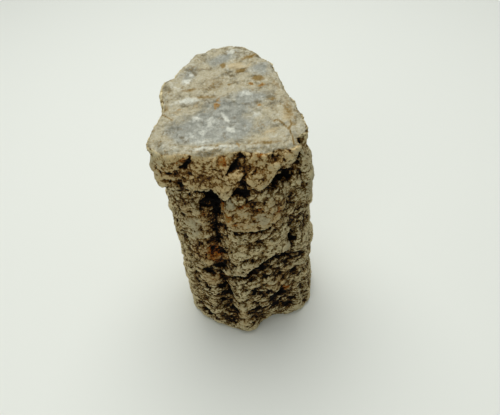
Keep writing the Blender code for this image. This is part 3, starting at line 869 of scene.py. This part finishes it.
def break_pattern(tree, at):
    """Height in millimetres of the uneven, sugary surface of the top break."""
    place = bent(tree, at["rest"], 2.0, 2.0)
    swell, wave, sugar = (
        add_node(
            tree, "ShaderNodeTexNoise",
            {"Vector": place, "Scale": 1 / size, "Detail": 2.0, "Roughness": 0.55},
        )
        for size in (5.5, 2.4, 0.8)
    )
    # Chips are a little over 2 mm wide.
    chips = add_node(
        tree, "ShaderNodeTexVoronoi",
        {"Vector": place, "Scale": 0.45, "Detail": 1.0, "Roughness": 0.6}, feature="F1",
    )
    rough = summed(tree, 1.0, (at["blue"], -0.2))
    height = summed(tree, -0.9, (swell, 1.0), (wave, 0.7), (chips, -0.35), (sugar, 0.4))
    return add_node(tree, "ShaderNodeMath", (height, rough), operation="MULTIPLY")


def relief_tree(stone):
    """The node tree that raises the bark's lumps and cuts its crevices on the smoothed stone."""
    tree = bpy.data.node_groups.new("stone relief", "GeometryNodeTree")
    tree.interface.new_socket("Geometry", in_out="INPUT", socket_type="NodeSocketGeometry")
    tree.interface.new_socket("Geometry", in_out="OUTPUT", socket_type="NodeSocketGeometry")
    came = add_node(tree, "NodeGroupInput")
    at = survey_values(tree)
    bark, _ = bark_pattern(tree, stone, at)
    top = break_pattern(tree, at)
    mixed = add_node(tree, "ShaderNodeMix", {0: at["broken"], 2: bark, 3: top}, data_type="FLOAT")
    cut = summed(tree, mixed, (at["carved"], -1.0))
    meters = summed(tree, 0.0, (cut, MM))
    meters = add_node(tree, "ShaderNodeMath", (meters, at["free"]), operation="MULTIPLY")
    outward = add_node(tree, "GeometryNodeInputNormal")
    offset = add_node(tree, "ShaderNodeVectorMath", {0: outward, "Scale": meters}, operation="SCALE")
    moved = add_node(tree, "GeometryNodeSetPosition", {"Geometry": came, "Offset": offset})
    add_node(tree, "NodeGroupOutput", {"Geometry": moved})
    return tree


# The stone's finish


def opaque(color):
    """The colour with full alpha."""
    return (*color, 1.0)


# Silicified wood, as found: a weathered bark rind of impure chert, matt, with black earth and iron oxide in
# its crevices, over grey chalcedony whose break is waxy and a little glossy, cloudy beige where it is impure.
# Its colour also carries painted shade in the crevices, caves and hollows, and painted light on the raised
# lumps.
def silicified_wood(stone):
    material = bpy.data.materials.new("silicified wood, weathered rind and broken chalcedony")
    material.use_nodes = True
    tree = material.node_tree
    shader = tree.nodes["Principled BSDF"]
    at = survey_values(tree)
    rise, depth = bark_pattern(tree, stone, at)
    facets = break_pattern(tree, at)
    patches, clouds, speckle, grit, flow = (
        add_node(
            tree, "ShaderNodeTexNoise",
            {"Vector": at["rest"], "Scale": 1 / size, "Detail": detail, "Roughness": 0.6},
        )
        for size, detail in ((2.2, 3.0), (5.0, 3.0), (0.9, 4.0), (0.8, 1.0), (3.4, 3.0))
    )
    from_crack = add_node(tree, "ShaderNodeMath", (summed(tree, -6.0, (flow, 12.0)),), operation="ABSOLUTE")
    crystals = add_node(
        tree, "ShaderNodeTexVoronoi", {"Vector": at["rest"], "Scale": 0.8, "Randomness": 1.0}, "Color",
        feature="F1",
    )

    # Bark: light on its raised parts, brown then black as it goes down, in a grey, a warm and a rusty kind:
    # partly the rind's own colour, partly painted light on the raised parts and painted shade in the hollows.
    depth = summed(
        tree, 1.41, (depth, 1.0), (clouds, -0.6), (patches, -0.9), (speckle, -1.3), (at["rust"], -0.03),
    )
    palettes = (
        (stone.worn_and_lit_bark, stone.bark, stone.olive, stone.brown, stone.earth_and_shade),
        (stone.worn_and_lit_ochre, stone.ochre, stone.tan, stone.brown, stone.earth_and_shade),
        (stone.ochre, stone.rust, stone.rust, stone.deep_rust, stone.earth_and_shade),
    )
    grounds = []
    for palette in palettes:
        ground = add_node(tree, "ShaderNodeValToRGB", (depth,))
        ramp = ground.node.color_ramp
        for place, color in zip(BARK_STOPS[1:-1], palette[1:-1]):
            ramp.elements.new(place)
        for element, place, color in zip(ramp.elements, BARK_STOPS, palette):
            element.position = place
            element.color = opaque(color)
        grounds.append(ground)
    grey, warm, rusty = grounds
    grey_at = summed(tree, 0.0, (clouds, 0.9), (at["pale"], 0.8), (depth, -0.8))
    warm_at = summed(tree, 0.28, (patches, 1.2), (at["ochre"], 0.9))
    rust_at = summed(tree, -0.7, (speckle, 2.4), (at["rust"], 1.0))
    bark = laid(
        tree, grey, (warm_at, 0.7, 1.3, 0.8, warm), (grey_at, 0.5, 1.1, 0.6, opaque(stone.bark_grey)),
        (rust_at, 0.85, 1.7, 0.95, rusty),
    )

    # Break: grey silica with cloudy beige, white flakes, and stains of cream, olive and rust. The white and
    # the dark silica also follow the facets, lighter on the raised ones and darker in the dips: partly
    # painted light and shade.
    blue_at = summed(tree, 0.0, (clouds, 1.6), (at["blue"], 1.0))
    dusk_at = summed(
        tree, -0.25, (facets, -0.3), (speckle, 0.5), (patches, 1.1), (clouds, 0.9), (at["blue"], -0.2),
    )
    light_at = summed(
        tree, 0.0, (facets, 0.4), (patches, -0.9), (speckle, 0.7), (at["pale"], 0.7), (at["blue"], -0.05),
    )
    crystal_at = summed(tree, 0.0, (crystals, 1.0), (at["blue"], 0.5), (speckle, 0.4))
    crack_at = summed(tree, 0.0, (from_crack, 0.3, 0.0, 0.8), (patches, 1.6), (at["blue"], -0.4))
    cream_at = summed(tree, -0.4, (patches, 1.7), (at["ochre"], 1.0))
    olive_at = summed(tree, 0.0, (speckle, 1.5), (at["olive"], 1.0))
    vein_at = summed(tree, 0.0, (at["vein"], 1.0), (speckle, 0.6))
    top = laid(
        tree, opaque(stone.beige_silica),
        (blue_at, 0.9, 1.6, 0.9, opaque(stone.grey_silica)),
        (dusk_at, 0.96, 1.35, 0.85, opaque(stone.dark_silica)),
        (light_at, -0.14, 0.42, 0.85, opaque(stone.white_silica)),
        (crystal_at, 1.3, 1.5, 0.2, opaque(stone.white_silica)),
        (grit, 0.54, 0.7, 0.25, opaque(stone.white_silica)),
        (grit, 0.4, 0.28, 0.3, opaque(stone.dark_silica)),
        (crack_at, 1.05, 1.6, 0.55, opaque(stone.olive)),
        (cream_at, 0.8, 1.5, 0.7, opaque(stone.cream)),
        (olive_at, 1.0, 1.8, 0.9, opaque(stone.olive)),
        (rust_at, 0.9, 1.4, 0.9, opaque(stone.ochre)),
        (rust_at, 1.3, 1.8, 0.8, opaque(stone.tan)),
        (vein_at, 0.6, 1.1, 0.9, opaque(stone.olive)),
        (vein_at, 1.1, 1.5, 0.6, opaque(stone.brown)),
    )
    edge_at = summed(tree, 0.0, (at["broken"], 1.0), (patches, 0.8), (at["black"], -0.5), (at["brim"], 0.45))
    color = laid(tree, bark, (edge_at, 0.65, 1.1, 1.0, top))
    roughness = summed(tree, 0.72, (at["broken"], -0.2), (at["blue"], -0.1), (at["black"], 0.1))
    surface = add_node(tree, "ShaderNodeMix", {0: at["broken"], 2: rise, 3: facets}, data_type="FLOAT")
    bump = add_node(tree, "ShaderNodeBump", {"Height": surface, "Distance": MM, "Strength": 0.7})
    for name, value in {"Base Color": color, "Roughness": roughness, "Normal": bump}.items():
        tree.links.new(value, shader.inputs[name])
    shader.inputs["IOR"].default_value = 1.54
    shader.inputs["Specular IOR Level"].default_value = 0.15
    return material


class PETRIFIED_OT_stone(Operator):
    """Builds the stone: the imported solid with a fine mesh, the bark's lumps and crevices, and its finish"""

    bl_idname = "petrified.stone"
    bl_label = "Build Stone"

    def execute(self, context):
        stone = context.scene.petrified_stone
        limb = fine_copy(NODE, "silicified_limb", stone.grid)
        survey(limb)
        relief = limb.modifiers.new("relief", "NODES")
        relief.node_group = relief_tree(stone)
        applied(limb)
        limb.data.name = limb.name
        limb.data.shade_smooth()
        limb.data.materials.append(silicified_wood(stone))
        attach(limb, "root")
        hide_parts(NODE)
        return {"FINISHED"}


# The stage

CAMERA_PLACE = (2.42 * MM, -130.19 * MM, 175.56 * MM)
CAMERA_PITCH = math.radians(45)
CAMERA_ROLL = math.radians(-5)
CAMERA_LENS = 37.44
CAMERA_NEAR = 5 * MM
FLOOR_RADIUS = 3.0
FLOOR_SEGMENTS = 96
KEY_PLACE = (-0.02, 0.18, 0.62)
KEY_SIZE = 0.66
FILL_PLACE = (-0.16, -0.44, 0.32)
FILL_SIZE = 0.5
STONE_MIDDLE = (0, 0, 0.05)
ROOM_COLOR = "#f2f6f4"


# Matt painted board: an even pale diffuse surface.
def painted_board(stage):
    material = bpy.data.materials.new("matt painted board")
    material.use_nodes = True
    shader = material.node_tree.nodes["Principled BSDF"]
    shader.inputs["Base Color"].default_value = opaque(stage.floor)
    shader.inputs["Roughness"].default_value = 0.9
    return material


def aimed_light(name, place, size, power):
    """An area light that looks at the middle of the stone."""
    light = bpy.data.lights.new(name, "AREA")
    light.shape = "DISK"
    light.size = size
    light.energy = power
    obj = bpy.data.objects.new(name, light)
    obj.location = place
    obj.rotation_euler = (Vector(STONE_MIDDLE) - obj.location).to_track_quat("-Z", "Y").to_euler()
    bpy.context.scene.collection.objects.link(obj)


class PETRIFIED_OT_stage(Operator):
    """Lays the floor, and sets the lights and the camera"""

    bl_idname = "petrified.stage"
    bl_label = "Set Stage"

    def execute(self, context):
        stage = context.scene.petrified_stage
        disk = bmesh.new()
        bmesh.ops.create_circle(disk, cap_ends=True, segments=FLOOR_SEGMENTS, radius=FLOOR_RADIUS)
        mesh = bpy.data.meshes.new("floor")
        disk.to_mesh(mesh)
        disk.free()
        floor = bpy.data.objects.new("floor", mesh)
        context.scene.collection.objects.link(floor)
        mesh.materials.append(painted_board(stage))
        aimed_light("key light", KEY_PLACE, KEY_SIZE, stage.key_power)
        aimed_light("fill light", FILL_PLACE, FILL_SIZE, stage.fill_power)
        world = bpy.data.worlds.new("pale room")
        world.use_nodes = True
        background = world.node_tree.nodes["Background"]
        background.inputs["Color"].default_value = opaque(linear(ROOM_COLOR))
        background.inputs["Strength"].default_value = stage.sky
        context.scene.world = world
        lens = bpy.data.cameras.new("camera")
        lens.lens = CAMERA_LENS
        lens.clip_start = CAMERA_NEAR
        camera = bpy.data.objects.new("camera", lens)
        turn = Matrix.Rotation(CAMERA_PITCH, 4, "X") @ Matrix.Rotation(CAMERA_ROLL, 4, "Z")
        camera.matrix_world = Matrix.Translation(CAMERA_PLACE) @ turn
        context.scene.collection.objects.link(camera)
        context.scene.camera = camera
        context.scene.view_settings.view_transform = "Standard"
        return {"FINISHED"}


class PETRIFIED_PT_panel(Panel):
    """Lists the settings and the steps."""

    bl_idname = "PETRIFIED_PT_panel"
    bl_label = "Petrified Wood Branch"
    bl_space_type = "VIEW_3D"
    bl_region_type = "UI"
    bl_category = "Petrified Wood"

    def draw(self, context):
        for settings in (context.scene.petrified_stone, context.scene.petrified_stage):
            for name in settings.__annotations__:
                self.layout.prop(settings, name)
        for step in STEPS:
            self.layout.operator(step.bl_idname)


STEPS = (PETRIFIED_OT_stone, PETRIFIED_OT_stage)
CLASSES = (StoneSettings, StageSettings, *STEPS, PETRIFIED_PT_panel)


def register():
    for item in CLASSES:
        bpy.utils.register_class(item)
    bpy.types.Scene.petrified_stone = PointerProperty(type=StoneSettings)
    bpy.types.Scene.petrified_stage = PointerProperty(type=StageSettings)


def unregister():
    del bpy.types.Scene.petrified_stage
    del bpy.types.Scene.petrified_stone
    for item in reversed(CLASSES):
        bpy.utils.unregister_class(item)


def main():
    register()
    bpy.ops.petrified.stone()
    bpy.ops.petrified.stage()


if __name__ == "__main__":
    main()
